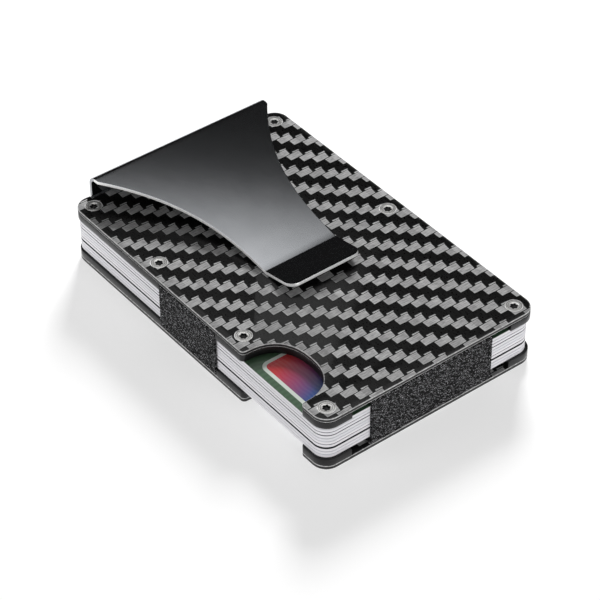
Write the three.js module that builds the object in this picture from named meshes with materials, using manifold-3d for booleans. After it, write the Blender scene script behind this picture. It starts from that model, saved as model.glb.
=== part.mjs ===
// Rigid card wallet: two carbon-faced shells held together round a stack of cards by two elastics,
// with a sprung money clip on the top shell. Millimetres, +Z up. The origin is at the bottom centre,
// +X runs from the clip end to the strap end, and the thumb notch is in the -Y side.

import * as THREE from 'three';
import { mergeVertices } from 'three/addons/utils/BufferGeometryUtils.js';
import Module from 'manifold-3d';

const wasm = await Module();
wasm.setup();

// ---- driving dimensions ----

const LENGTH = 86;
const WIDTH = 55;
const CORNER_R = 3.4;
const PLATE_T = 1.0;
const FRAME_T = 1.65;

const CARD_LENGTH = 85.6;
const CARD_WIDTH = 53.98;
const CARD_T = 0.76;
const CARD_CORNER_R = 3.18;
const CARD_COUNT = 10;
const CARD_GAP = 0.02;
const WIDE_GAPS = { 3: 0.38, 7: 0.1 };
const CARD_END_X = 42.4;

const NOTCH_X = 26.45;
const NOTCH_HALF_WIDTH = 9.3;
const NOTCH_DEPTH = 9.9;
const NOTCH_LIP_R = 1.0;
const NOTCH_POWER = 2.4;
const NOTCH_STEPS = 20;

const SCREW_INSET = 3.4;
const SCREW_EXTRA = [[-15.8, -1], [13.1, -1], [-0.3, 1]];
const HEAD_R = 1.85;
const HEAD_H = 0.85;
const SHANK_R = 1.0;
const SCREW_LENGTH = 2.4;
const SOCKET_R = 0.82;
const SOCKET_DEPTH = 0.5;
const SOCKET_LOBES = 6;
const SOCKET_WAIST = 0.74;
const TIP_CHAMFER = 0.3;
const HEAD_SUNK = 0.03;
const SCREW_SIDES = 12;
const HOLE_SIDES = 16;

const ELASTIC_T = 0.6;
const CROSS_X = -1.6;
const CROSS_WIDTH = 19;
const END_WIDTH = 31;
const END_LEG_X = 29;
const END_RECESS_X = 40.9;
const END_RECESS_HALF = 20.4;
const ELASTIC_CLEAR = 0.05;

const CLIP_T = 0.7;
const CLIP_ROOT_HALF = 22.6;
const CLIP_CREASE_HALF = 9.2;
const CLIP_WAIST_POWER = 2.4;
const CLIP_TIP_R = 2.2;
const CLIP_WALL_X = -42.6;
const CLIP_TOP_Z = 18.9;
const CLIP_BEND_RADII = [0.6, 1.7, 0.8];
const CLIP_CREASE_X = 0.8;
const CLIP_TIP_X = 9.6;
const CLIP_TIP_RISE = 1.8;
const CLIP_FOOT_X = -33;
const CLIP_SPLIT_X = -40.2;
const CLIP_SPLIT_GAP = 0.3;
const CLIP_SCREW = { x: -37, y: 10, headR: 1.7, headH: 0.65, shankR: 0.9, tipChamfer: 0.15, socketR: 0.65 };

const CLEAR = 0.05;
const POCKET_CLEAR = 0.1;
const CHANNEL_CLEAR = 0.2;
const CUT_OVER = 1;
const ARC_STEPS = 6;
const BEND_STEPS = 5;
const WAIST_STEPS = 14;

// ---- levels, from the bottom face up ----

const gapAbove = (n) => WIDE_GAPS[n] ?? CARD_GAP;
const STACK_Z = PLATE_T + FRAME_T;
const cardZ = (n) => {
  let z = STACK_Z + CARD_GAP;
  for (let i = 1; i < n; i += 1) z += CARD_T + gapAbove(i);
  return z;
};
const STACK_TOP = cardZ(CARD_COUNT) + CARD_T + CARD_GAP;
const TOP_FRAME_Z = STACK_TOP;
const TOP_PLATE_Z = TOP_FRAME_Z + FRAME_T;
const HEIGHT = TOP_PLATE_Z + PLATE_T;

// ---- materials ----

const paint = (color, roughness, metalness) =>
  new THREE.MeshStandardMaterial({ color, roughness, metalness });

const carbon = paint(0x1b1b1c, 0.4, 0.1);
const anodised = paint(0x35363a, 0.45, 0.8);
const steel = paint(0xb9babd, 0.3, 1.0);
const blackSteel = paint(0x0c0d0f, 0.25, 0.6);
const knit = paint(0x1d1d1f, 0.95, 0);
const whiteCard = paint(0xe9e8ec, 0.45, 0);
const greenCard = paint(0x2f5a3c, 0.4, 0);

// ---- solids ----

function toManifold(geometry) {
  const bare = geometry.clone();
  bare.deleteAttribute('normal');
  bare.deleteAttribute('uv');
  const merged = mergeVertices(bare, 1e-4);
  return new wasm.Manifold(new wasm.Mesh({
    numProp: 3,
    vertProperties: new Float32Array(merged.attributes.position.array),
    triVerts: new Uint32Array(merged.index.array),
  }));
}

function toGeometry(solid) {
  const mesh = solid.getMesh();
  const geometry = new THREE.BufferGeometry();
  geometry.setAttribute('position', new THREE.BufferAttribute(mesh.vertProperties, 3));
  geometry.setIndex(new THREE.BufferAttribute(mesh.triVerts, 1));
  geometry.computeVertexNormals();
  return geometry;
}

function extrude(shape, depth, curveSegments = ARC_STEPS) {
  return new THREE.ExtrudeGeometry(shape, { depth, bevelEnabled: false, curveSegments });
}

function block(x0, x1, y0, y1, z0, z1) {
  const geometry = new THREE.BoxGeometry(x1 - x0, y1 - y0, z1 - z0);
  geometry.translate((x0 + x1) / 2, (y0 + y1) / 2, (z0 + z1) / 2);
  return toManifold(geometry);
}

function cone(x, y, z0, r0, z1, r1, sides = HOLE_SIDES) {
  const geometry = new THREE.CylinderGeometry(r1, r0, z1 - z0, sides);
  geometry.rotateX(Math.PI / 2);
  geometry.translate(x, y, (z0 + z1) / 2);
  return toManifold(geometry);
}

// ---- outlines ----

function roundedRectangle(length, width, radius) {
  const shape = new THREE.Shape();
  const x = length / 2 - radius;
  const y = width / 2 - radius;
  shape.absarc(x, -y, radius, -Math.PI / 2, 0, false);
  shape.absarc(x, y, radius, 0, Math.PI / 2, false);
  shape.absarc(-x, y, radius, Math.PI / 2, Math.PI, false);
  shape.absarc(-x, -y, radius, Math.PI, Math.PI * 1.5, false);
  shape.closePath();
  return shape;
}

// The shell's outline: a rounded rectangle whose -Y side dips in at the thumb notch. The notch is
// half a superellipse, and a small lip arc joins each of its sides to the straight edge.
function shellOutline() {
  const shape = new THREE.Shape();
  const x = LENGTH / 2 - CORNER_R;
  const y = WIDTH / 2 - CORNER_R;
  const edge = -WIDTH / 2;
  const mouth = edge + NOTCH_LIP_R;
  const depth = NOTCH_DEPTH - NOTCH_LIP_R;
  const lipX = NOTCH_HALF_WIDTH + NOTCH_LIP_R;
  shape.absarc(-x, -y, CORNER_R, Math.PI, Math.PI * 1.5, false);
  shape.absarc(NOTCH_X - lipX, mouth, NOTCH_LIP_R, -Math.PI / 2, 0, false);
  for (let i = 1; i < NOTCH_STEPS; i += 1) {
    const a = Math.PI - (Math.PI * i) / NOTCH_STEPS;
    const c = Math.cos(a);
    const px = Math.sign(c) * Math.abs(c) ** (2 / NOTCH_POWER);
    const py = Math.sin(a) ** (2 / NOTCH_POWER);
    shape.lineTo(NOTCH_X + NOTCH_HALF_WIDTH * px, mouth + depth * py);
  }
  shape.absarc(NOTCH_X + lipX, mouth, NOTCH_LIP_R, Math.PI, Math.PI * 1.5, false);
  shape.absarc(x, -y, CORNER_R, -Math.PI / 2, 0, false);
  shape.absarc(x, y, CORNER_R, 0, Math.PI / 2, false);
  shape.absarc(-x, y, CORNER_R, Math.PI / 2, Math.PI, false);
  shape.closePath();
  return shape;
}

// Seven screws hold each shell: one at each corner, two along the notch side, one opposite.
function screwPlaces() {
  const x = LENGTH / 2 - SCREW_INSET;
  const y = WIDTH / 2 - SCREW_INSET;
  const corners = [[-x, -y], [x, -y], [x, y], [-x, y]];
  return corners.concat(SCREW_EXTRA.map(([px, side]) => [px, side * y]));
}

// ---- shells, modelled as the top one, and mirrored for the bottom one ----

const flipDown = new THREE.Matrix4().makeScale(1, 1, -1).setPosition(0, 0, HEIGHT);

function mirrorGeometry(geometry) {
  const flipped = geometry.clone().applyMatrix4(flipDown);
  const index = flipped.index.array;
  for (let i = 0; i < index.length; i += 3) {
    [index[i], index[i + 1]] = [index[i + 1], index[i]];
  }
  flipped.computeVertexNormals();
  return flipped;
}

function plateSolid(withClip) {
  let solid = toManifold(extrude(shellOutline(), PLATE_T).translate(0, 0, TOP_PLATE_Z));
  const coneSlope = (HEAD_R - SHANK_R) / HEAD_H;
  for (const [x, y] of screwPlaces()) {
    const over = CUT_OVER * coneSlope;
    solid = solid.subtract(cone(x, y, HEIGHT - HEAD_H, SHANK_R + CLEAR,
      HEIGHT + CUT_OVER, HEAD_R + CLEAR + over));
    solid = solid.subtract(cone(x, y, TOP_PLATE_Z - CUT_OVER, SHANK_R + CLEAR,
      HEIGHT - HEAD_H / 2, SHANK_R + CLEAR));
  }
  if (withClip) {
    const wallInner = CLIP_WALL_X + CLIP_T / 2 + POCKET_CLEAR;
    const half = CLIP_ROOT_HALF + POCKET_CLEAR;
    solid = solid.subtract(block(-LENGTH, wallInner, -half, half,
      TOP_PLATE_Z - CUT_OVER, HEIGHT + CUT_OVER));
  }
  return solid;
}

// The frame carries the threads, a channel across it for the cross elastic, a short channel for
// each leg of the end strap in a recess at its +X end, and on the top shell a pocket for the
// clip's foot.
function frameSolid(withClip) {
  let solid = toManifold(extrude(shellOutline(), FRAME_T).translate(0, 0, TOP_FRAME_Z));
  for (const [x, y] of screwPlaces()) {
    solid = solid.subtract(cone(x, y, TOP_FRAME_Z - CUT_OVER, SHANK_R + CLEAR,
      TOP_PLATE_Z + CUT_OVER, SHANK_R + CLEAR));
  }
  const floor = TOP_PLATE_Z - ELASTIC_T - 2 * ELASTIC_CLEAR;
  const top = TOP_PLATE_Z + CUT_OVER;
  const under = TOP_FRAME_Z - CUT_OVER;
  const half = CROSS_WIDTH / 2 + CHANNEL_CLEAR;
  const sideIn = CARD_WIDTH / 2 + CLEAR / 2;
  solid = solid.subtract(block(CROSS_X - half, CROSS_X + half, -WIDTH, WIDTH, floor, top));
  for (const side of [-1, 1]) {
    const near = Math.min(side * sideIn, side * WIDTH);
    const far = Math.max(side * sideIn, side * WIDTH);
    solid = solid.subtract(block(CROSS_X - half, CROSS_X + half, near, far, under, top));
  }
  const endHalf = END_WIDTH / 2 + CHANNEL_CLEAR;
  solid = solid.subtract(block(END_LEG_X - CHANNEL_CLEAR, LENGTH, -endHalf, endHalf, floor, top));
  solid = solid.subtract(block(END_RECESS_X, LENGTH, -END_RECESS_HALF, END_RECESS_HALF, under, top));
  if (withClip) {
    const pocket = TOP_PLATE_Z - CLIP_T - POCKET_CLEAR;
    const wide = CLIP_ROOT_HALF + POCKET_CLEAR;
    solid = solid.subtract(block(-LENGTH, CLIP_FOOT_X + CHANNEL_CLEAR, -wide, wide, pocket, top));
    for (const side of [-1, 1]) {
      const { x, y, headR, headH, shankR } = CLIP_SCREW;
      solid = solid.subtract(cone(x, side * y, TOP_FRAME_Z - CLEAR, headR + POCKET_CLEAR,
        TOP_FRAME_Z + headH, shankR + CLEAR));
      solid = solid.subtract(cone(x, side * y, TOP_FRAME_Z, shankR + CLEAR, top, shankR + CLEAR));
    }
  }
  return solid;
}

// ---- screws ----

function lathe(profile, sides) {
  const points = profile.map(([r, z]) => new THREE.Vector2(r, z));
  return new THREE.LatheGeometry(points, sides).rotateX(Math.PI / 2);
}

// A six-pointed star hole, as deep as given and open past the head's face.
function lobedSocket(radius, depth) {
  const points = [];
  for (let i = 0; i < SOCKET_LOBES * 2; i += 1) {
    const a = (Math.PI * i) / SOCKET_LOBES;
    const r = i % 2 === 0 ? radius : radius * SOCKET_WAIST;
    points.push(new THREE.Vector2(r * Math.cos(a), r * Math.sin(a)));
  }
  return extrude(new THREE.Shape(points), depth + CUT_OVER);
}

function plateScrewSolid() {
  const top = HEIGHT - HEAD_SUNK;
  const tip = top - SCREW_LENGTH;
  const body = lathe([
    [0, tip], [SHANK_R - TIP_CHAMFER, tip], [SHANK_R, tip + TIP_CHAMFER],
    [SHANK_R, top - HEAD_H], [HEAD_R, top], [0, top],
  ], SCREW_SIDES);
  const socket = lobedSocket(SOCKET_R, SOCKET_DEPTH).translate(0, 0, top - SOCKET_DEPTH);
  return toManifold(body).subtract(toManifold(socket));
}

function clipScrewSolid() {
  const { headR, headH, shankR, tipChamfer, socketR } = CLIP_SCREW;
  const bottom = TOP_FRAME_Z + HEAD_SUNK;
  const tip = TOP_PLATE_Z - CLEAR;
  const body = lathe([
    [0, bottom], [headR, bottom], [shankR, bottom + headH],
    [shankR, tip - tipChamfer], [shankR - tipChamfer, tip], [0, tip],
  ], SCREW_SIDES);
  const socket = lobedSocket(socketR, SOCKET_DEPTH);
  socket.translate(0, 0, bottom - CUT_OVER);
  return toManifold(body).subtract(toManifold(socket));
}

// ---- elastics ----

function box2(x0, y0, x1, y1, Path = THREE.Shape) {
  const path = new Path();
  path.moveTo(x0, y0);
  path.lineTo(x1, y0);
  path.lineTo(x1, y1);
  path.lineTo(x0, y1);
  path.closePath();
  return path;
}

// A closed loop round both frames, under both plates. The screw opposite the notch side goes
// through it in each shell, which keeps it from creeping along its channels.
function crossElasticGeometry() {
  const y = CARD_WIDTH / 2 + ELASTIC_CLEAR + ELASTIC_T;
  const low = PLATE_T + ELASTIC_CLEAR;
  const high = TOP_PLATE_Z - ELASTIC_CLEAR;
  const t = ELASTIC_T;
  const ring = box2(-y, low, y, high);
  ring.holes.push(box2(-y + t, low + t, y - t, high - t, THREE.Path));
  const along = new THREE.Matrix4().makeBasis(
    new THREE.Vector3(0, 1, 0), new THREE.Vector3(0, 0, 1), new THREE.Vector3(1, 0, 0));
  const loop = extrude(ring, CROSS_WIDTH).applyMatrix4(along);
  loop.translate(CROSS_X - CROSS_WIDTH / 2, 0, 0);
  let solid = toManifold(loop);
  for (const [px, py] of screwPlaces()) {
    if (Math.abs(px - CROSS_X) > CROSS_WIDTH / 2) continue;
    solid = solid.subtract(cone(px, py, 0, SHANK_R + POCKET_CLEAR, HEIGHT, SHANK_R + POCKET_CLEAR));
  }
  return toGeometry(solid);
}

// A strap over the closed end, with a leg clamped under each plate.
function endElasticGeometry() {
  const out = CARD_END_X + ELASTIC_CLEAR + ELASTIC_T;
  const inner = out - ELASTIC_T;
  const low = PLATE_T + ELASTIC_CLEAR;
  const high = TOP_PLATE_Z - ELASTIC_CLEAR;
  const t = ELASTIC_T;
  const corners = [
    [END_LEG_X, low], [out, low], [out, high], [END_LEG_X, high],
    [END_LEG_X, high - t], [inner, high - t], [inner, low + t], [END_LEG_X, low + t],
  ];
  const strap = new THREE.Shape(corners.map(([x, z]) => new THREE.Vector2(x, z)));
  const across = new THREE.Matrix4().makeBasis(
    new THREE.Vector3(1, 0, 0), new THREE.Vector3(0, 0, 1), new THREE.Vector3(0, -1, 0));
  return extrude(strap, END_WIDTH).applyMatrix4(across).translate(0, END_WIDTH / 2, 0);
}

// ---- money clip: one bent sheet, in two solids that meet at its bend ----

// Rounds each inner corner of a line of points with an arc of the given radius.
function roundedLine(corners, radii, steps) {
  const line = [corners[0].clone()];
  for (let i = 1; i < corners.length - 1; i += 1) {
    const before = corners[i - 1].clone().sub(corners[i]).normalize();
    const after = corners[i + 1].clone().sub(corners[i]).normalize();
    const half = Math.acos(before.dot(after)) / 2;
    const bisector = before.clone().add(after).normalize();
    const centre = corners[i].clone().addScaledVector(bisector, radii[i - 1] / Math.sin(half));
    const reach = radii[i - 1] / Math.tan(half);
    const from = corners[i].clone().addScaledVector(before, reach).sub(centre);
    const to = corners[i].clone().addScaledVector(after, reach).sub(centre);
    const turn = Math.atan2(from.cross(to), from.dot(to));
    for (let k = 0; k <= steps; k += 1) {
      line.push(from.clone().rotateAround(new THREE.Vector2(), (turn * k) / steps).add(centre));
    }
  }
  line.push(corners[corners.length - 1].clone());
  return line;
}

function sheetShape(line, thickness) {
  const side = (sign) => line.map((point, i) => {
    const a = line[Math.max(i - 1, 0)];
    const b = line[Math.min(i + 1, line.length - 1)];
    const normal = new THREE.Vector2(a.y - b.y, b.x - a.x).normalize();
    return point.clone().addScaledVector(normal, (sign * thickness) / 2);
  });
  return new THREE.Shape(side(1).concat(side(-1).reverse()));
}

function clipSheet() {
  const footZ = TOP_PLATE_Z - CLIP_T / 2 - CLEAR;
  const creaseZ = HEIGHT + CLIP_T / 2 + CLEAR;
  const corners = [
    new THREE.Vector2(CLIP_FOOT_X, footZ),
    new THREE.Vector2(CLIP_WALL_X, footZ),
    new THREE.Vector2(CLIP_WALL_X, CLIP_TOP_Z),
    new THREE.Vector2(CLIP_CREASE_X, creaseZ),
    new THREE.Vector2(CLIP_TIP_X, creaseZ + CLIP_TIP_RISE),
  ];
  const shape = sheetShape(roundedLine(corners, CLIP_BEND_RADII, BEND_STEPS), CLIP_T);
  const across = new THREE.Matrix4().makeBasis(
    new THREE.Vector3(1, 0, 0), new THREE.Vector3(0, 0, 1), new THREE.Vector3(0, -1, 0));
  const span = CLIP_ROOT_HALF * 2 + CUT_OVER;
  return toManifold(extrude(shape, span).applyMatrix4(across).translate(0, span / 2, 0));
}

// Half the clip's width at x: full at the root, drawn in to a waist, even along the tip.
function clipHalfWidth(x) {
  const s = Math.max(0, (CLIP_CREASE_X - x) / (CLIP_CREASE_X - CLIP_SPLIT_X));
  return CLIP_CREASE_HALF + (CLIP_ROOT_HALF - CLIP_CREASE_HALF) * Math.min(1, s) ** CLIP_WAIST_POWER;
}

function clipPlan() {
  const side = [new THREE.Vector2(-LENGTH / 2 - CUT_OVER, CLIP_ROOT_HALF)];
  for (let i = 0; i <= WAIST_STEPS; i += 1) {
    const x = CLIP_SPLIT_X + ((CLIP_CREASE_X - CLIP_SPLIT_X) * i) / WAIST_STEPS;
    side.push(new THREE.Vector2(x, clipHalfWidth(x)));
  }
  for (let i = 0; i <= ARC_STEPS; i += 1) {
    const a = (Math.PI / 2) * (1 - i / ARC_STEPS);
    side.push(new THREE.Vector2(
      CLIP_TIP_X - CLIP_TIP_R + CLIP_TIP_R * Math.cos(a),
      CLIP_CREASE_HALF - CLIP_TIP_R + CLIP_TIP_R * Math.sin(a),
    ));
  }
  const mirrored = side.map((p) => new THREE.Vector2(p.x, -p.y)).reverse();
  return new THREE.Shape(side.concat(mirrored).reverse());
}

const clipWhole = clipSheet().intersect(toManifold(extrude(clipPlan(), HEIGHT * 2)));

function clipRootSolid() {
  const end = CLIP_SPLIT_X - CLIP_SPLIT_GAP / 2;
  const far = CLIP_FOOT_X + CUT_OVER;
  const underPlate = block(-LENGTH, far, -WIDTH, WIDTH, 0, TOP_PLATE_Z);
  const abovePlate = block(-LENGTH, end, -WIDTH, WIDTH, 0, HEIGHT * 2);
  let solid = clipWhole.intersect(underPlate.add(abovePlate));
  for (const side of [-1, 1]) {
    solid = solid.subtract(cone(CLIP_SCREW.x, side * CLIP_SCREW.y, TOP_FRAME_Z,
      CLIP_SCREW.shankR + CLEAR, HEIGHT, CLIP_SCREW.shankR + CLEAR));
  }
  return solid;
}

function clipBladeSolid() {
  const start = CLIP_SPLIT_X + CLIP_SPLIT_GAP / 2;
  return clipWhole.intersect(block(start, LENGTH, -WIDTH, WIDTH, TOP_PLATE_Z, HEIGHT * 2));
}

// ---- the object ----

const wallet = new THREE.Group();

function addPiece(name, geometry, material, x = 0, y = 0, z = 0) {
  const mesh = new THREE.Mesh(geometry, material);
  mesh.name = name;
  mesh.position.set(x, y, z);
  wallet.add(mesh);
}

addPiece('top_plate', toGeometry(plateSolid(true)), carbon);
addPiece('bottom_plate', mirrorGeometry(toGeometry(plateSolid(false))), carbon);
addPiece('top_frame', toGeometry(frameSolid(true)), anodised);
addPiece('bottom_frame', mirrorGeometry(toGeometry(frameSolid(false))), anodised);

const plateScrew = toGeometry(plateScrewSolid());
const plateScrewDown = mirrorGeometry(plateScrew);
screwPlaces().forEach(([x, y], i) => {
  addPiece(`top_screw_${i + 1}`, plateScrew, steel, x, y);
  addPiece(`bottom_screw_${i + 1}`, plateScrewDown, steel, x, y);
});

addPiece('cross_elastic', crossElasticGeometry(), knit);
addPiece('end_elastic', endElasticGeometry(), knit);

addPiece('clip_root', toGeometry(clipRootSolid()), blackSteel);
addPiece('clip_blade', toGeometry(clipBladeSolid()), blackSteel);
const clipScrew = toGeometry(clipScrewSolid());
addPiece('clip_screw_1', clipScrew, steel, CLIP_SCREW.x, -CLIP_SCREW.y);
addPiece('clip_screw_2', clipScrew, steel, CLIP_SCREW.x, CLIP_SCREW.y);

const cardOutline = roundedRectangle(CARD_LENGTH, CARD_WIDTH, CARD_CORNER_R);
for (let n = 1; n <= CARD_COUNT; n += 1) {
  const material = n === CARD_COUNT ? greenCard : whiteCard;
  addPiece(`card_${n}`, extrude(cardOutline, CARD_T, ARC_STEPS / 2), material,
    CARD_END_X - CARD_LENGTH / 2, 0, cardZ(n));
}

export default wallet;
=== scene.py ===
"""The looks of the rigid card wallet: carbon plates, anodised frames, screws, elastics, clip and cards."""
import math

import bmesh
import bpy
import numpy as np
from mathutils import Matrix, Quaternion, Vector


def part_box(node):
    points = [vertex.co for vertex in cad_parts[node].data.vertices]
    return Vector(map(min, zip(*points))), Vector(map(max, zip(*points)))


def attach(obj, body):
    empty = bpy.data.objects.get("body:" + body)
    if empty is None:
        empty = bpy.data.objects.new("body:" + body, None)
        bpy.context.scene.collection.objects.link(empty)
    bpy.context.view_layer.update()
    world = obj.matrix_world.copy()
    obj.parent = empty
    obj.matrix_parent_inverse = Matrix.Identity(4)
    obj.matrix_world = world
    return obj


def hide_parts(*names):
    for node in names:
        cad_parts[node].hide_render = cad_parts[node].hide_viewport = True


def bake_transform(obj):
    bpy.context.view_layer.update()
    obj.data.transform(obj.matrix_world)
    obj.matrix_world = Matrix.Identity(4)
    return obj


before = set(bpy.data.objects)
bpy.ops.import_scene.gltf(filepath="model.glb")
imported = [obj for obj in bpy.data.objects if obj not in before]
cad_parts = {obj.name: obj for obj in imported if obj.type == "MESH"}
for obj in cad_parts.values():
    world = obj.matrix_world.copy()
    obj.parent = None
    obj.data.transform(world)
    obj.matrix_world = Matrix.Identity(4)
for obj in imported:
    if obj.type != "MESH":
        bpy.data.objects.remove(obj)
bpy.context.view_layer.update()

MM = 0.001
RNG = np.random.default_rng(11)

BOTTOM, TOP, CLIP = "bottom_shell", "top_shell", "clip"
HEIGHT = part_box("top_plate")[1].z
CARD_COUNT = sum(1 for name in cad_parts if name.startswith("card_"))
SCREWS = [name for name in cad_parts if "_screw_" in name]
SCREW_AXES = [sum(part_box(name), Vector()).xy / 2 for name in SCREWS]

# Outline edges are rounded only this far from a screw's axis, which leaves its hole crisp.
SCREW_CLEAR = 2.4 * MM
CARBON_TOW = 2.0 * MM

# Cards counted from the bottom; these have near-black faces, which show as dark lines in the stack's edge.
DARK_FACED = (3, 4, 7, 8)
CARD_CORNER_R = 3.18 * MM
CARD_EDGE_ROUND = 0.07 * MM

# The clip: sheet thickness, its three bends, the crease before the flared tip, and the tip.
CLIP_T = 0.7 * MM
CLIP_TOP_Z = 18.9 * MM
CLIP_BEND_RADII = [0.6 * MM, 1.7 * MM, 0.8 * MM]
BLADE_BOW = 0.45 * MM
CREASE_X = 0.8 * MM
CREASE_HALF = 9.2 * MM
TIP_RISE = 1.78 * MM
TIP_CORNER_R = 2.2 * MM
# Nearer the bend than this the sheet's cut edge keeps the black face material; past it the edge gets a
# painted near-white highlight.
HIGHLIGHT_EDGE_X = -41.2 * MM

# The elastics' knit, in millimetres: loop spacing along a row, and row spacing.
KNIT_STEP, KNIT_ROW = 0.42, 0.36


# ---------------------------------------------------------------- mesh helpers

def mesh_object(name, verts, faces):
    mesh = bpy.data.meshes.new(name)
    mesh.from_pydata([tuple(map(float, v)) for v in verts], [], faces)
    mesh.validate()
    mesh.update()
    obj = bpy.data.objects.new(name, mesh)
    bpy.context.scene.collection.objects.link(obj)
    for polygon in mesh.polygons:
        polygon.use_smooth = True
    return obj


def finish_bmesh(bm, mesh, sharp_deg=35):
    """Writes bm to mesh with outward faces, smooth except across sharp edges."""
    bmesh.ops.recalc_face_normals(bm, faces=bm.faces)
    for face in bm.faces:
        face.smooth = True
    limit = math.radians(sharp_deg)
    for edge in bm.edges:
        edge.smooth = len(edge.link_faces) == 2 and edge.calc_face_angle(0) < limit
    bm.to_mesh(mesh)
    bm.free()
    mesh.update()


def bevel_sharp(bm, width, segments, min_deg=40, keep=None):
    """Rounds the edges sharper than min_deg, or only those for which keep(edge) is true."""
    limit = math.radians(min_deg)
    edges = [e for e in bm.edges if len(e.link_faces) == 2 and e.calc_face_angle(0) > limit
             and (keep is None or keep(e))]
    bmesh.ops.bevel(bm, geom=edges, offset=width, segments=segments, profile=0.5,
                    affect="EDGES", clamp_overlap=True)


def refined_node(node, name, width, segments, keep=None):
    """A piece with a CAD node's own shape, its flat faces made whole and its edges rounded."""
    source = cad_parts[node]
    mesh = source.data.copy()
    mesh.materials.clear()
    obj = bpy.data.objects.new(name, mesh)
    bpy.context.scene.collection.objects.link(obj)
    bm = bmesh.new()
    bm.from_mesh(mesh)
    bmesh.ops.remove_doubles(bm, verts=bm.verts, dist=2e-6)
    bmesh.ops.dissolve_limit(bm, angle_limit=math.radians(0.6), verts=bm.verts, edges=bm.edges)
    bevel_sharp(bm, width, segments, keep=keep)
    finish_bmesh(bm, mesh)
    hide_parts(node)
    return obj


def rings_object(name, rings):
    """A closed piece through rings of points, each ring of the same count."""
    count = len(rings[0])
    verts = [p for ring in rings for p in ring]
    faces = []
    for r in range(len(rings) - 1):
        for i in range(count):
            j = (i + 1) % count
            a, b = r * count, (r + 1) * count
            faces.append((a + i, a + j, b + j, b + i))
    faces.append(tuple(reversed(range(count))))
    faces.append(tuple(range((len(rings) - 1) * count, len(rings) * count)))
    obj = mesh_object(name, verts, faces)
    bm = bmesh.new()
    bm.from_mesh(obj.data)
    finish_bmesh(bm, obj.data, 30)
    return obj


def put_material(obj, *materials):
    obj.data.materials.clear()
    for material in materials:
        obj.data.materials.append(material)


# ---------------------------------------------------------------- node helpers

class Nodes:
    """Short names for building one material's node tree."""

    def __init__(self, name):
        self.material = bpy.data.materials.new(name)
        self.material.use_nodes = True
        self.tree = self.material.node_tree
        self.shader = self.tree.nodes["Principled BSDF"]

    def add(self, kind, **settings):
        node = self.tree.nodes.new(kind)
        for key, value in settings.items():
            setattr(node, key, value)
        return node

    def link(self, value, socket):
        if isinstance(value, bpy.types.NodeSocket):
            self.tree.links.new(value, socket)
        else:
            socket.default_value = value

    def math(self, operation, a, b=0.0, c=0.0):
        node = self.add("ShaderNodeMath", operation=operation)
        for i, value in enumerate((a, b, c)):
            self.link(value, node.inputs[i])
        return node.outputs[0]

    def position(self):
        """Object coordinates in millimetres, as (x, y, z) sockets."""
        scale = self.add("ShaderNodeVectorMath", operation="SCALE")
        self.link(self.add("ShaderNodeTexCoord").outputs["Object"], scale.inputs[0])
        scale.inputs["Scale"].default_value = 1 / MM
        self.vector = scale.outputs[0]
        split = self.add("ShaderNodeSeparateXYZ")
        self.link(self.vector, split.inputs[0])
        return split.outputs[0], split.outputs[1], split.outputs[2]

    def combine(self, x, y, z):
        node = self.add("ShaderNodeCombineXYZ")
        for i, value in enumerate((x, y, z)):
            self.link(value, node.inputs[i])
        return node.outputs[0]

    def scaled(self, x, y, z, x_scale, y_scale, z_scale=None):
        """A vector with x and y multiplied, and z too where z_scale is given."""
        x, y = self.math("MULTIPLY", x, x_scale), self.math("MULTIPLY", y, y_scale)
        return self.combine(x, y, z if z_scale is None else self.math("MULTIPLY", z, z_scale))

    def noise(self, vector, scale, detail=3.0, roughness=0.55):
        node = self.add("ShaderNodeTexNoise")
        self.link(vector, node.inputs["Vector"])
        node.inputs["Scale"].default_value = scale
        node.inputs["Detail"].default_value = detail
        node.inputs["Roughness"].default_value = roughness
        return node.outputs["Fac"]

    def remap(self, value, low, high, to_low, to_high, smooth=False):
        node = self.add("ShaderNodeMapRange", clamp=True,
                        interpolation_type="SMOOTHSTEP" if smooth else "LINEAR")
        self.link(value, node.inputs[0])
        for i, number in enumerate((low, high, to_low, to_high)):
            node.inputs[i + 1].default_value = number
        return node.outputs[0]

    def mix(self, factor, a, b):
        node = self.add("ShaderNodeMix", data_type="RGBA")
        self.link(factor, node.inputs[0])
        for value, socket in ((a, node.inputs[6]), (b, node.inputs[7])):
            if isinstance(value, tuple):
                value = (*value, 1.0)
            self.link(value, socket)
        return node.outputs[2]

    def grey(self, value):
        return self.combine(value, value, value)

    def bump(self, height, distance, strength):
        node = self.add("ShaderNodeBump")
        self.link(height, node.inputs["Height"])
        node.inputs["Distance"].default_value = distance
        node.inputs["Strength"].default_value = strength
        return node.outputs[0]

    def set(self, **values):
        """Sets the shader's sockets; underscores stand for spaces."""
        for key, value in values.items():
            if isinstance(value, tuple) and len(value) == 3:
                value = (*value, 1.0)
            self.link(value, self.shader.inputs[key.replace("_", " ")])
        return self.material


# ---------------------------------------------------------------- materials

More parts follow.
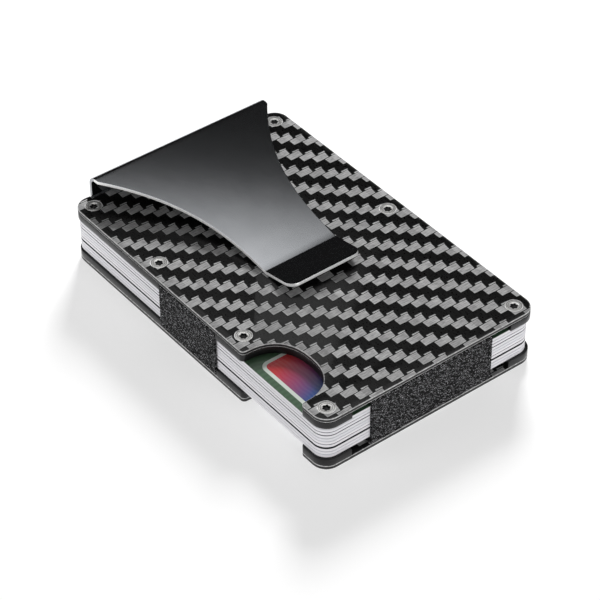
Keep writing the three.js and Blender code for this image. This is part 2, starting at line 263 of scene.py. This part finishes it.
def carbon_material():
    """2x2 twill: each tow passes over two and under two, and the steps climb along +X +Y."""
    n = Nodes("carbon_twill")
    x, y, z = n.position()
    tow = CARBON_TOW / MM
    wobble = n.noise(n.vector, 0.35, 2.0)
    u = n.math("ADD", n.math("DIVIDE", x, tow), n.remap(wobble, 0.3, 0.7, -0.03, 0.03))
    v = n.math("ADD", n.math("DIVIDE", y, tow), n.remap(wobble, 0.3, 0.7, 0.03, -0.03))
    u_cell, v_cell = n.math("FLOOR", u), n.math("FLOOR", v)
    u_in, v_in = n.math("SUBTRACT", u, u_cell), n.math("SUBTRACT", v, v_cell)
    step = n.math("FLOORED_MODULO", n.math("SUBTRACT", u_cell, v_cell), 4.0)
    over = n.math("LESS_THAN", step, 1.5)
    along_over = n.math("MULTIPLY", n.math("ADD", v_in, n.math("SUBTRACT", 1.0, step)), 0.5)
    along_under = n.math("MULTIPLY", n.math("ADD", u_in, n.math("SUBTRACT", step, 2.0)), 0.5)

    def arch(value, power):
        """1 in the middle of 0..1 and 0 at its ends."""
        off = n.math("ABSOLUTE", n.math("SUBTRACT", n.math("MULTIPLY", value, 2.0), 1.0))
        return n.math("SUBTRACT", 1.0, n.math("POWER", off, power))

    def inside(value, start, full):
        """0 at either end of 0..1, rising to 1 between start and full from the end."""
        near = n.math("MINIMUM", value, n.math("SUBTRACT", 1.0, value))
        return n.remap(near, start, full, 0.0, 1.0, smooth=True)

    crown_over = n.math("MULTIPLY", arch(u_in, 6.0), arch(along_over, 8.0))
    crown_under = n.math("MULTIPLY", arch(v_in, 6.0), arch(along_under, 8.0))
    # A float's near end is square and its far end slants back across the tow.
    slant = n.math("ADD", along_over, n.math("MULTIPLY", u_in, 0.07))
    ends = n.math("MULTIPLY", n.remap(along_over, 0.08, 0.105, 0.0, 1.0),
                  n.remap(slant, 0.925, 0.95, 1.0, 0.0))
    shown_over = n.math("MULTIPLY", inside(u_in, 0.04, 0.08), ends)
    body = n.math("MULTIPLY", inside(u_in, 0.1, 0.17), inside(along_over, 0.12, 0.15))
    # Each float's rim is where its painted highlight goes.
    rim_painted_highlight = n.math("SUBTRACT", 1.0, body)
    # A sliver of each float shows past its left side, along its far half.
    sliver_edge = n.math("SUBTRACT", u_in, n.math("MULTIPLY", v_in, 0.06))
    sliver = n.math("MULTIPLY", n.remap(sliver_edge, 0.76, 0.79, 0.0, 1.0),
                    n.remap(u_in, 0.96, 0.99, 1.0, 0.0))
    sliver = n.math("MULTIPLY", sliver, n.remap(v_in, 0.14, 0.2, 0.0, 1.0))
    sliver = n.math("MULTIPLY", sliver, n.math("GREATER_THAN", step, 2.5))
    shown_under = n.math("MULTIPLY", inside(v_in, 0.0, 0.07), inside(along_under, 0.02, 0.06))
    # Fibres: fine streaks along each tow.
    streak_over = n.noise(n.scaled(x, y, u_cell, 4.5, 0.6), 1.0, 4.0)
    streak_under = n.noise(n.scaled(x, y, v_cell, 0.6, 4.5), 1.0, 4.0)
    shade = n.noise(n.scaled(u_cell, v_cell, 0.0, 0.73, 0.61), 1.7, 1.0)
    # The over floats are painted light grey as a painted sheen, standing for the fibres' reflection, and get
    # a painted highlight along each rim; the under floats keep carbon's near-black.
    fibre_sheen = n.math("MULTIPLY", n.remap(streak_over, 0.3, 0.7, 0.19, 0.43),
                   n.remap(shade, 0.3, 0.7, 0.82, 1.18))
    over_painted_sheen = n.math("MULTIPLY", fibre_sheen, n.remap(rim_painted_highlight, 0.0, 1.0, 1.0, 1.35))
    over_painted_sheen = n.math("MULTIPLY", over_painted_sheen, n.remap(shown_over, 0.0, 1.0, 0.01, 1.0))
    dark = n.math("MULTIPLY", n.remap(streak_under, 0.35, 0.7, 0.0006, 0.009),
                  n.remap(shown_under, 0.0, 1.0, 0.2, 1.0))
    dark = n.math("ADD", dark, n.math("MULTIPLY", sliver, n.math("MULTIPLY", fibre_sheen, 1.2)))
    value = n.math("ADD", n.math("MULTIPLY", over, over_painted_sheen),
                   n.math("MULTIPLY", n.math("SUBTRACT", 1.0, over), dark))
    # Only the two broad faces show the weave; the cut edge is plain dark laminate.
    normal = n.add("ShaderNodeNewGeometry").outputs["Normal"]
    facing = n.add("ShaderNodeSeparateXYZ")
    n.link(normal, facing.inputs[0])
    flat = n.remap(n.math("ABSOLUTE", facing.outputs[2]), 0.9, 0.99, 0.0, 1.0)
    layers = n.math("SINE", n.math("MULTIPLY", z, 2 * math.pi / 0.22))
    edge = n.remap(layers, -1.0, 1.0, 0.012, 0.03)
    # The rounded bevel between a face and the cut edge is painted light grey, varied by noise: a painted
    # highlight along the plate's edge.
    wear_and_highlight = n.remap(n.noise(n.vector, 1.5), 0.35, 0.6, 0.55, 1.0)
    corner = n.math("MULTIPLY", n.remap(n.math("ABSOLUTE", facing.outputs[2]), 0.15, 0.4, 0.0, 1.0),
                    n.math("SUBTRACT", 1.0, flat))
    colour = n.mix(flat, n.mix(corner, n.grey(edge), n.grey(wear_and_highlight)), n.grey(value))
    height = n.math("ADD", n.math("MULTIPLY", over, crown_over),
                    n.math("MULTIPLY", n.math("SUBTRACT", 1.0, over), n.math("MULTIPLY", crown_under, 0.9)))
    height = n.math("MAXIMUM", height, 0.5)
    worn = n.remap(n.noise(n.vector, 2.0), 0.3, 0.7, 0.26, 0.32)
    rough = n.math("ADD", n.math("MULTIPLY", over, 0.1), worn)
    return n.set(Base_Color=colour, Roughness=rough, Metallic=0.0, Specular_IOR_Level=0.2,
                 Normal=n.bump(n.math("MULTIPLY", height, flat), 0.012 * MM, 0.5))


def anodised_material():
    n = Nodes("anodised_aluminium")
    x, y, z = n.position()
    grain = n.noise(n.scaled(x, y, z, 3.0, 3.0, 26.0), 1.0, 4.0)
    blotch = n.noise(n.vector, 0.25, 2.0)
    value = n.math("MULTIPLY", n.remap(grain, 0.3, 0.7, 0.022, 0.036),
                   n.remap(blotch, 0.3, 0.7, 0.85, 1.15))
    colour = n.combine(value, value, n.math("MULTIPLY", value, 1.03))
    return n.set(Base_Color=colour, Metallic=0.7, Roughness=n.remap(grain, 0.3, 0.7, 0.26, 0.36),
                 Normal=n.bump(n.noise(n.vector, 22.0, 2.0), 0.004 * MM, 0.5))


def screw_material():
    """Bright turned steel; object coordinates start at the screw's own axis."""
    n = Nodes("turned_steel")
    x, y, z = n.position()
    radius = n.math("SQRT", n.math("ADD", n.math("MULTIPLY", x, x), n.math("MULTIPLY", y, y)))
    rings = n.math("SINE", n.math("MULTIPLY", radius, 2 * math.pi / 0.12))
    wear_and_highlight = n.noise(n.vector, 3.0, 3.0)
    colour = n.mix(n.remap(wear_and_highlight, 0.35, 0.65, 0.0, 1.0), (0.6, 0.59, 0.57), (0.78, 0.78, 0.77))
    # The socket is painted near-black: painted shade in its depth.
    socket_painted_shade = n.math("MULTIPLY", n.remap(z, -0.2, -0.1, 1.0, 0.0), n.math("LESS_THAN", radius, 1.0))
    colour = n.mix(socket_painted_shade, colour, (0.01, 0.01, 0.01))
    # Two thin rings, at the dish round the socket and near the head's rounded rim, are painted dark as
    # painted shade.
    for ring_r in (1.25, 1.55):
        ring_painted_shade = n.remap(n.math("ABSOLUTE", n.math("SUBTRACT", radius, ring_r)), 0.03, 0.1, 0.75, 0.0)
        colour = n.mix(ring_painted_shade, colour, (0.08, 0.08, 0.08))
    return n.set(Base_Color=colour, Metallic=0.6, Roughness=n.remap(wear_and_highlight, 0.3, 0.7, 0.26, 0.36),
                 Normal=n.bump(rings, 0.0008 * MM, 0.3))


def clip_material():
    """Black chrome over steel sheet, finely brushed along, with a faint unevenness."""
    n = Nodes("black_chrome")
    x, y, z = n.position()
    brush = n.noise(n.scaled(x, y, z, 0.3, 4.0), 1.0, 3.0)
    cloud = n.noise(n.vector, 0.12, 2.0)
    colour = n.mix(n.remap(cloud, 0.3, 0.7, 0.0, 1.0), (0.33, 0.34, 0.355), (0.37, 0.38, 0.395))
    return n.set(Base_Color=colour, Metallic=1.0, Roughness=n.remap(brush, 0.3, 0.7, 0.15, 0.165),
                 Normal=n.bump(brush, 0.0002 * MM, 0.1))


def clip_edge_highlight_material():
    n = Nodes("cut_edge_painted_highlight")
    n.position()
    wear_and_highlight = n.noise(n.vector, 2.2, 4.0)
    # The near-white colour is a painted highlight along the sheet's cut edge.
    colour = n.mix(n.remap(wear_and_highlight, 0.38, 0.62, 0.0, 1.0), (0.85, 0.85, 0.85), (0.95, 0.95, 0.94))
    return n.set(Base_Color=colour, Metallic=0.4, Roughness=n.remap(wear_and_highlight, 0.3, 0.7, 0.36, 0.46),
                 Normal=n.bump(wear_and_highlight, 0.001 * MM, 0.2))


def elastic_material(along):
    """Fine black knit with grey flecks; along is the axis that the rows run along, 0 for X, 1 for Y."""
    n = Nodes("woven_elastic_" + "xy"[along])
    axes = n.position()
    across = n.math("MULTIPLY", axes[along], 1 / KNIT_STEP)
    up = n.math("MULTIPLY", axes[2], 1 / KNIT_ROW)
    row = n.math("FLOOR", up)
    stagger = n.math("ADD", across, n.math("MULTIPLY", row, 0.5))
    voronoi = n.add("ShaderNodeTexVoronoi", feature="F1")
    voronoi.inputs["Scale"].default_value = 1.0
    n.link(n.combine(stagger, up, 0.0), voronoi.inputs["Vector"])
    speck = n.noise(n.vector, 7.0, 3.0, 0.7)
    loops = n.remap(voronoi.outputs["Distance"], 0.1, 0.6, 1.0, 0.0)
    fleck = n.math("MULTIPLY", loops, n.remap(speck, 0.54, 0.58, 0.0, 1.0, smooth=True))
    # Darker between the loops and lighter on their crowns: painted shade in the knit's hollows.
    base = n.mix(loops, (0.001, 0.001, 0.0012), (0.007, 0.007, 0.008))
    colour = n.mix(fleck, base, (0.85, 0.85, 0.88))
    return n.set(Base_Color=colour, Roughness=0.9, Specular_IOR_Level=0.2, Sheen_Weight=0.04,
                 Sheen_Roughness=0.5, Normal=n.bump(loops, 0.06 * MM, 0.7))


def card_material(index, green=False):
    """Laminated card: a clear skin over a white core, each card a slightly different white."""
    n = Nodes(f"card_{index}_laminate")
    x, y, z = n.position()
    low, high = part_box(f"card_{index}")
    mid = (low.z + high.z) / 2 / MM
    half = (high.z - low.z) / 2 / MM
    tint = RNG.uniform(-1, 1)
    core = (0.75 + 0.03 * tint, 0.74 + 0.025 * tint, 0.77 + 0.02 * tint)
    off = n.math("ABSOLUTE", n.math("SUBTRACT", z, mid))
    skin = n.remap(off, half * 0.62, half * 0.7, 0.0, 1.0, smooth=True)
    streak = n.noise(n.scaled(x, y, z, 0.5, 0.5, 14.0), 1.0, 3.0)
    side = n.mix(skin, core, (core[0] * 0.86, core[1] * 0.86, core[2] * 0.88))
    side = n.mix(n.remap(streak, 0.45, 0.75, 0.0, 0.35), side, (0.52, 0.51, 0.54))
    cloud = n.remap(n.noise(n.vector, 0.09, 2.0), 0.35, 0.65, 0.0, 1.0)
    if green:
        face = green_face(n, x, y)
    elif index in DARK_FACED:
        face = n.mix(cloud, (0.008, 0.009, 0.012), (0.014, 0.016, 0.024))
    else:
        face = n.mix(cloud, (0.55, 0.58, 0.62), (0.74, 0.74, 0.77))
    normal = n.add("ShaderNodeNewGeometry").outputs["Normal"]
    split = n.add("ShaderNodeSeparateXYZ")
    n.link(normal, split.inputs[0])
    flat = n.remap(n.math("ABSOLUTE", split.outputs[2]), 0.55, 0.8, 0.0, 1.0)
    grain = n.noise(n.vector, 14.0, 2.0)
    return n.set(Base_Color=n.mix(flat, side, face), Roughness=n.remap(grain, 0.3, 0.7, 0.38, 0.46),
                 Normal=n.bump(grain, 0.003 * MM, 0.4))


def green_face(n, x, y):
    """A green card face with one plain foil panel: a pale rounded border round a smooth colour fade."""
    left, right, low, high, radius, border = 19.6, 40.0, -25.4, -14.5, 2.0, 0.85

    def past(value, start, end):
        """How far value lies outside the start to end range, less the corner radius."""
        off = n.math("ABSOLUTE", n.math("SUBTRACT", value, (start + end) / 2))
        return n.math("SUBTRACT", off, (end - start) / 2 - radius)

    dx, dy = past(x, left, right), past(y, low, high)
    px, py = n.math("MAXIMUM", dx, 0.0), n.math("MAXIMUM", dy, 0.0)
    outside = n.math("SQRT", n.math("ADD", n.math("MULTIPLY", px, px), n.math("MULTIPLY", py, py)))
    within = n.math("MINIMUM", n.math("MAXIMUM", dx, dy), 0.0)
    distance = n.math("SUBTRACT", n.math("ADD", outside, within), radius)
    panel = n.remap(distance, -0.04, 0.04, 1.0, 0.0)
    inner = n.remap(distance, -border - 0.04, -border + 0.04, 1.0, 0.0)
    ramp = n.add("ShaderNodeValToRGB")
    ramp.color_ramp.elements[0].color = (0.5, 0.012, 0.018, 1)
    ramp.color_ramp.elements[1].color = (0.012, 0.05, 0.22, 1)
    n.link(n.remap(n.math("ADD", x, n.math("MULTIPLY", y, 0.35)), 15.0, 25.0, 0.0, 1.0), ramp.inputs[0])
    ripple = n.math("SINE", n.math("MULTIPLY", outside, 9.0))
    bend = n.math("SINE", n.math("MULTIPLY", x, 1.3))
    wave = n.math("SINE", n.math("ADD", n.math("MULTIPLY", y, 7.0), bend))
    foil = n.mix(n.remap(n.math("ADD", wave, ripple), -2.0, 2.0, 0.0, 0.05), ramp.outputs[0], (0.8, 0.8, 0.8))
    sway = n.math("MULTIPLY", n.math("SINE", n.math("MULTIPLY", y, 0.9)), 3.0)
    guilloche = n.math("SINE", n.math("ADD", n.math("MULTIPLY", x, 5.0), sway))
    green = n.mix(n.remap(guilloche, -1.0, 1.0, 0.0, 1.0), (0.04, 0.088, 0.046), (0.056, 0.116, 0.062))
    colour = n.mix(panel, green, (0.66, 0.72, 0.66))
    return n.mix(inner, colour, foil)


# ---------------------------------------------------------------- rigid shells

def outline_edge(edge):
    """True for a level edge that is not part of a screw's hole."""
    a, b = (vert.co for vert in edge.verts)
    middle = ((a + b) / 2).xy
    by_screw = any((middle - axis).length < SCREW_CLEAR for axis in SCREW_AXES)
    return abs(a.z - b.z) < 0.001 * MM and not by_screw


def make_shell_pieces():
    carbon = carbon_material()
    anodised = anodised_material()
    for side, body in (("top", TOP), ("bottom", BOTTOM)):
        plate = refined_node(f"{side}_plate", f"{side}_carbon_plate", 0.25 * MM, 2, outline_edge)
        put_material(plate, carbon)
        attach(plate, body)
        chassis = refined_node(f"{side}_frame", f"{side}_chassis", 0.12 * MM, 2, outline_edge)
        put_material(chassis, anodised)
        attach(chassis, body)


# ---------------------------------------------------------------- screws

def screw_mesh(head_r, shank_r, head_h, length, socket_r, socket_depth):
    """A countersunk screw with its head's face at z 0 and its shank down, as stacked rings."""
    count = 96
    angles = np.arange(count) * 2 * np.pi / count

    def ring(radius, z, lobes=0.0):
        r = radius * (1 + lobes * (np.cos(6 * angles) - 1) * 0.5)
        return np.stack([r * np.cos(angles), r * np.sin(angles), np.full(count, z)], 1)

    edge = 0.05 * MM
    rings = [
        ring(0.12 * socket_r, -socket_depth - 0.12 * MM),
        ring(socket_r * 0.85, -socket_depth, 0.26),
        ring(socket_r, -socket_depth + edge, 0.24),
        ring(socket_r, -0.16 * MM, 0.24),
        ring(socket_r * 1.08, -0.10 * MM, 0.18),
        ring(socket_r * 1.2, -0.08 * MM, 0.03),
        ring(head_r * 0.66, -0.04 * MM),
        ring(head_r * 0.7, -0.005 * MM),
        ring(head_r * 0.74, 0.0),
        ring(head_r - 2.2 * edge, 0.0),
        ring(head_r - 0.6 * edge, -0.35 * edge),
        ring(head_r, -edge * 1.6),
        ring(head_r - 0.02 * MM, -edge * 2.4),
        ring(shank_r + 0.02 * MM, -head_h),
    ]
    pitch = 0.2 * MM
    for k in range(int((length - head_h) / pitch) - 1):
        z = -head_h - (k + 0.5) * pitch
        rings.append(ring(shank_r * 0.97, z))
        rings.append(ring(shank_r * 0.82, z - pitch / 2))
    rings.append(ring(shank_r * 0.75, -length + 0.1 * MM))
    rings.append(ring(shank_r * 0.6, -length))
    return rings


def make_screws():
    steel = screw_material()
    for node in SCREWS:
        low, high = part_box(node)
        head_r = (high.x - low.x) / 2 - 0.12 * MM
        length = high.z - low.z
        if node.startswith("clip"):
            rings = screw_mesh(head_r, 0.9 * MM, 0.65 * MM, length, 0.65 * MM, 0.45 * MM)
        else:
            rings = screw_mesh(head_r, 1.0 * MM, 0.85 * MM, length, 0.86 * MM, 0.5 * MM)
        up = node.startswith("top")
        piece = rings_object(node.replace("screw", "torque_screw"), rings)
        turn = Matrix.Rotation(RNG.uniform(0, math.tau), 4, "Z")
        flip = Matrix.Identity(4) if up else Matrix.Rotation(math.pi, 4, "X")
        middle = Vector(((low.x + high.x) / 2, (low.y + high.y) / 2, high.z if up else low.z))
        piece.matrix_world = Matrix.Translation(middle) @ flip @ turn
        put_material(piece, steel)
        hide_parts(node)
        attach(piece, BOTTOM if node.startswith("bottom") else TOP)


# ---------------------------------------------------------------- money clip

def rounded_line(corners, radii, steps):
    """The line through corners with each inner one rounded by an arc, as points."""
    line = [corners[0]]
    for corner, before, after, radius in zip(corners[1:-1], corners, corners[2:], radii):
        a, b = (before - corner).normalized(), (after - corner).normalized()
        half = a.angle(b) / 2
        centre = corner + (a + b).normalized() * (radius / math.sin(half))
        start = corner + a * (radius / math.tan(half)) - centre
        end = corner + b * (radius / math.tan(half)) - centre
        turn = start.angle_signed(end)
        for k in range(steps + 1):
            line.append(centre + Matrix.Rotation(-turn * k / steps, 2) @ start)
    line.append(corners[-1])
    return line


def subdivided(line, longest):
    out = [line[0]]
    for a, b in zip(line, line[1:]):
        count = max(1, math.ceil((b - a).length / longest))
        out += [a + (b - a) * (k / count) for k in range(1, count + 1)]
    return out


def bowed(point, start_x, end_x):
    """Raises a point of the blade so that the blade is a shallow arch between the two bends."""
    share = (point.x - start_x) / (end_x - start_x)
    if not 0 < share < 1 or point.y < HEIGHT:
        return point
    return point + Vector((0, 4 * BLADE_BOW * share * (1 - share)))


def make_clip():
    """One bent sheet from the foot under the plate to the flared tip, bending at the hinge."""
    foot_low, foot_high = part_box("clip_root")
    blade_low, blade_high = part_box("clip_blade")
    root_half = foot_high.y
    split_x = blade_low.x
    wall_x = foot_low.x + CLIP_T / 2
    foot_z = foot_low.z + CLIP_T / 2
    tip_x = blade_high.x - CLIP_T * 0.1
    crease_z = HEIGHT + CLIP_T / 2 + 0.05 * MM
    corners = [Vector((foot_high.x - 0.02 * MM, foot_z)), Vector((wall_x, foot_z)),
               Vector((wall_x, CLIP_TOP_Z)), Vector((CREASE_X, crease_z)),
               Vector((tip_x, crease_z + TIP_RISE))]
    line = rounded_line(corners, CLIP_BEND_RADII, 12)
    line = [bowed(p, wall_x + 2.0 * MM, CREASE_X - 1.0 * MM) for p in subdivided(line, 0.8 * MM)]

    def half_width(p):
        if p.x < split_x or p.y < HEIGHT:
            return root_half
        share = max(0.0, (CREASE_X - p.x) / (CREASE_X - split_x))
        half = CREASE_HALF + (root_half - CREASE_HALF) * min(1.0, share) ** 2.4
        into = p.x - (tip_x - TIP_CORNER_R)
        if into > 0:
            half -= TIP_CORNER_R - math.sqrt(max(0.0, TIP_CORNER_R ** 2 - into ** 2))
        return half

    tip_fine = [line[-2] + (line[-1] - line[-2]) * math.sin(k / 6 * math.pi / 2) for k in range(1, 7)]
    line = line[:-1] + tip_fine
    columns = 24
    top, bottom = [], []
    for i, p in enumerate(line):
        a, b = line[max(i - 1, 0)], line[min(i + 1, len(line) - 1)]
        along = (b - a).normalized()
        normal = Vector((along.y, -along.x))
        half = half_width(p)
        for k in range(columns + 1):
            across = 2 * k / columns - 1
            y = half * math.sin(across * math.pi / 2)
            for rows, sign in ((top, 1), (bottom, -1)):
                q = p + normal * (sign * CLIP_T / 2)
                rows.append((q.x, y, q.y))
    wide = columns + 1
    count = len(line)
    offset = count * wide
    faces = []
    for i in range(count - 1):
        for k in range(columns):
            a = i * wide + k
            faces.append((a, a + 1, a + wide + 1, a + wide))
            faces.append((offset + a, offset + a + wide, offset + a + wide + 1, offset + a + 1))
    for i in range(count - 1):
        for k in (0, columns):
            a, b = i * wide + k, (i + 1) * wide + k
            faces.append((a, b, offset + b, offset + a))
    for i in (0, count - 1):
        for k in range(columns):
            a = i * wide + k
            faces.append((a, a + 1, offset + a + 1, offset + a))
    clip = mesh_object("money_clip_sheet", top + bottom, faces)
    bm = bmesh.new()
    bm.from_mesh(clip.data)
    bmesh.ops.recalc_face_normals(bm, faces=bm.faces)
    bevel_sharp(bm, 0.13 * MM, 3, min_deg=60)
    finish_bmesh(bm, clip.data, 50)
    put_material(clip, clip_material(), clip_edge_highlight_material())
    mark_cut_edges(clip, line)
    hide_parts("clip_root", "clip_blade")
    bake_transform(clip)


def mark_cut_edges(clip, line):
    """Gives the sheet's cut edges and their bevels, past the bend and above the plate, the near-white
    material of a painted highlight.
    """
    profile = np.array([(p.x, p.y) for p in line])
    seg_a, seg_b = profile[:-1], profile[1:]
    run = seg_b - seg_a
    for polygon in clip.data.polygons:
        c = np.array((polygon.center.x, polygon.center.z))
        t = np.clip(((c - seg_a) * run).sum(1) / (run ** 2).sum(1), 0, 1)
        near = np.argmin(((seg_a + run * t[:, None] - c) ** 2).sum(1))
        tangent = run[near] / np.linalg.norm(run[near])
        normal = polygon.normal
        face_on = abs(normal.x * -tangent[1] + normal.z * tangent[0])
        edge_highlit = face_on < 0.8 and c[0] > HIGHLIGHT_EDGE_X and c[1] > HEIGHT
        polygon.material_index = 1 if edge_highlit else 0


# ---------------------------------------------------------------- elastics

def knit_height(s, t):
    """Raised loops in staggered rows, about half a millimetre apart."""
    row = np.floor(t / KNIT_ROW)
    u = s / KNIT_STEP + 0.5 * (row % 2)
    return np.abs(np.sin(np.pi * u)) * np.abs(np.sin(np.pi * t / KNIT_ROW))


def band_object(name, path, half_width, centre, to_world, thick, fine):
    """A woven band swept along a closed or open path (2-D points, mm), fine where fine(point) is true."""
    points = [path[0]]
    for a, b in zip(path, path[1:]):
        step = 0.12 if fine((a + b) / 2) else 1.5
        count = max(1, math.ceil((b - a).length / step))
        points += [a + (b - a) * (k / count) for k in range(1, count + 1)]
    lengths = np.cumsum([0] + [(b - a).length for a, b in zip(points, points[1:])])
    closed = (points[0] - points[-1]).length < 1e-6
    if closed:
        points = points[:-1]
    count = len(points)
    across = np.arange(-half_width, half_width + 0.001, 0.14)
    wide = len(across)
    outer, inner = [], []
    for i, p in enumerate(points):
        a = points[i - 1] if (i or closed) else p
        b = points[(i + 1) % count] if (i < count - 1 or closed) else p
        run = (b - a).normalized()
        normal = Vector((run.y, -run.x))
        rise = knit_height(across, np.full(wide, lengths[i]))
        edge = 0.10 * np.sin(2 * np.pi * lengths[i] / (2 * KNIT_ROW)) * (np.abs(across) > half_width - 0.2)
        shift = np.sign(across) * edge
        fade = np.clip((half_width - np.abs(across)) / 0.35, 0.15, 1)
        for k in range(wide):
            q = p - normal * (0.11 * (1 - rise[k]) * fade[k])
            outer.append(to_world(q, centre + across[k] + shift[k] * 0.5))
            q = p - normal * thick
            inner.append(to_world(q, centre + across[k] + shift[k] * 0.5))
    offset = count * wide
    faces = []
    last = count if closed else count - 1
    for i in range(last):
        j = (i + 1) % count
        for k in range(wide - 1):
            a, b = i * wide + k, j * wide + k
            faces.append((a, a + 1, b + 1, b))
            faces.append((offset + a, offset + b, offset + b + 1, offset + a + 1))
        for k in (0, wide - 1):
            a, b = i * wide + k, j * wide + k
            faces.append((a, b, offset + b, offset + a))
    if not closed:
        for i in (0, count - 1):
            for k in range(wide - 1):
                a = i * wide + k
                faces.append((a, a + 1, offset + a + 1, offset + a))
    verts = [(x * MM, y * MM, z * MM) for x, y, z in outer + inner]
    obj = mesh_object(name, verts, faces)
    bm = bmesh.new()
    bm.from_mesh(obj.data)
    finish_bmesh(bm, obj.data, 60)
    return obj


def make_elastics():
    low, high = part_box("cross_elastic")
    y1, z0, z1 = high.y / MM, low.z / MM, high.z / MM
    corner = [Vector((0, z0)), Vector((y1, z0)), Vector((y1, z1)),
              Vector((-y1, z1)), Vector((-y1, z0)), Vector((0, z0))]
    path = rounded_line(corner, [0.35] * 4, 3)
    middle, half = (low.x + high.x) / 2 / MM, (high.x - low.x) / 2 / MM
    cross = band_object("cross_elastic_loop", path, half - 0.03, middle,
                        lambda q, s: (s, q.x, q.y), 0.55, lambda q: abs(q.x) > y1 - 0.8)
    put_material(cross, elastic_material(0))
    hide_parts("cross_elastic")
    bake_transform(cross)

    low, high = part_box("end_elastic")
    x0, x1, z0, z1 = low.x / MM, high.x / MM, low.z / MM, high.z / MM
    corner = [Vector((x0, z0)), Vector((x1, z0)), Vector((x1, z1)), Vector((x0, z1))]
    path = rounded_line(corner, [0.35] * 2, 3)
    strap = band_object("end_elastic_strap", path, high.y / MM - 0.03, 0.0,
                        lambda q, s: (q.x, -s, q.y), 0.55, lambda q: q.x > x1 - 0.8)
    put_material(strap, elastic_material(1))
    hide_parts("end_elastic")
    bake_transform(strap)


# ---------------------------------------------------------------- cards

def make_cards():
    for index in range(1, CARD_COUNT + 1):
        low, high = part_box(f"card_{index}")
        inset = CARD_EDGE_ROUND
        profile = [(inset * 2.2, 0.0), (inset * 0.7, inset * 0.3), (0.0, inset)]
        levels = [(d, low.z + z) for d, z in profile] + [(d, high.z - z) for d, z in reversed(profile)]
        rings = [card_ring(low, high, d, z) for d, z in levels]
        card = rings_object(f"bank_card_{index}", rings)
        put_material(card, card_material(index, green=index == CARD_COUNT))
        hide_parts(f"card_{index}")
        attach(card, f"card_{index}")


def card_ring(low, high, inset, z):
    radius = CARD_CORNER_R
    ring = []
    corners = ((high.x, low.y, -90), (high.x, high.y, 0), (low.x, high.y, 90), (low.x, low.y, 180))
    for cx, cy, start in corners:
        mx = cx - radius if cx == high.x else cx + radius
        my = cy - radius if cy == high.y else cy + radius
        for k in range(17):
            a = math.radians(start + 90 * k / 16)
            ring.append((mx + (radius - inset) * math.cos(a), my + (radius - inset) * math.sin(a), z))
    return ring


# ---------------------------------------------------------------- stage, camera, light

def make_stage():
    bpy.ops.mesh.primitive_plane_add(size=3.0, location=(0, 0, -0.0002))
    floor = bpy.context.object
    floor.name = "floor"
    n = Nodes("white_sweep")
    put_material(floor, n.set(Base_Color=(0.45, 0.45, 0.45), Roughness=0.85, Specular_IOR_Level=0.1,
                        Emission_Color=(1, 1, 1), Emission_Strength=0.62))


def make_camera():
    """A long lens at azimuth 52.3 and elevation 40.7 degrees, rolled by 0.4 degrees."""
    place = Vector((0.30857, -0.23841, 0.33677))
    aim = Vector((0.00530, -0.00381, 0.00675))
    data = bpy.data.cameras.new("camera")
    data.lens = 147.2
    data.sensor_width = 36.0
    data.clip_start, data.clip_end = 0.01, 10.0
    camera = bpy.data.objects.new("camera", data)
    bpy.context.scene.collection.objects.link(camera)
    turn = (aim - place).to_track_quat("-Z", "Y").to_matrix().to_4x4()
    camera.matrix_world = Matrix.Translation(place) @ turn @ Matrix.Rotation(math.radians(-0.39), 4, "Z")
    bpy.context.scene.camera = camera


def area_light(name, direction, distance, size, power, size_y=None):
    data = bpy.data.lights.new(name, "AREA")
    data.shape = "RECTANGLE"
    data.size, data.size_y = size, size_y or size
    data.energy = power
    light = bpy.data.objects.new(name, data)
    bpy.context.scene.collection.objects.link(light)
    place = Vector(direction).normalized() * distance
    light.location = place
    light.rotation_mode = "QUATERNION"
    light.rotation_quaternion = (-place).to_track_quat("-Z", "Y")
    return light


def make_lights():
    world = bpy.data.worlds.new("studio")
    world.use_nodes = True
    tree = world.node_tree
    background = tree.nodes["Background"]
    background.inputs["Color"].default_value = (1.0, 1.0, 1.0, 1.0)
    # The room is pale for diffuse light and dark in reflections, as round a light tent's gap.
    path = tree.nodes.new("ShaderNodeLightPath")
    strength = tree.nodes.new("ShaderNodeMapRange")
    strength.inputs["To Min"].default_value = 0.13
    strength.inputs["To Max"].default_value = 0.015
    tree.links.new(path.outputs["Is Glossy Ray"], strength.inputs["Value"])
    tree.links.new(strength.outputs[0], background.inputs["Strength"])
    bpy.context.scene.world = world
    key = area_light("back_left_key", (-0.56, 0.58, 0.46), 0.8, 0.2, 10.5)
    key.visible_glossy = False
    # Panels that step back from one edge, so the reflection fades towards the clip's bend.
    for layer in range(5):
        place = Vector((-0.075 + 0.0048 * layer, 0.070 - 0.0082 * layer, 0.2 + 0.002 * layer))
        panel = area_light(f"top_softbox_{layer + 1}", place, place.length, 0.24, 0.036, size_y=0.14)
        panel.rotation_quaternion = Quaternion((0, 0, 1), math.radians(30))
        panel.visible_diffuse = False
        panel.visible_camera = False
    area_light("left_fill", (-0.35, -0.95, 0.1), 0.8, 0.3, 3.4)
    area_light("right_fill", (0.95, 0.0, 0.1), 0.8, 0.3, 3.4)
    bpy.context.scene.view_settings.view_transform = "Standard"


make_camera()
make_stage()
make_lights()
make_shell_pieces()
make_screws()
make_clip()
make_elastics()
make_cards()
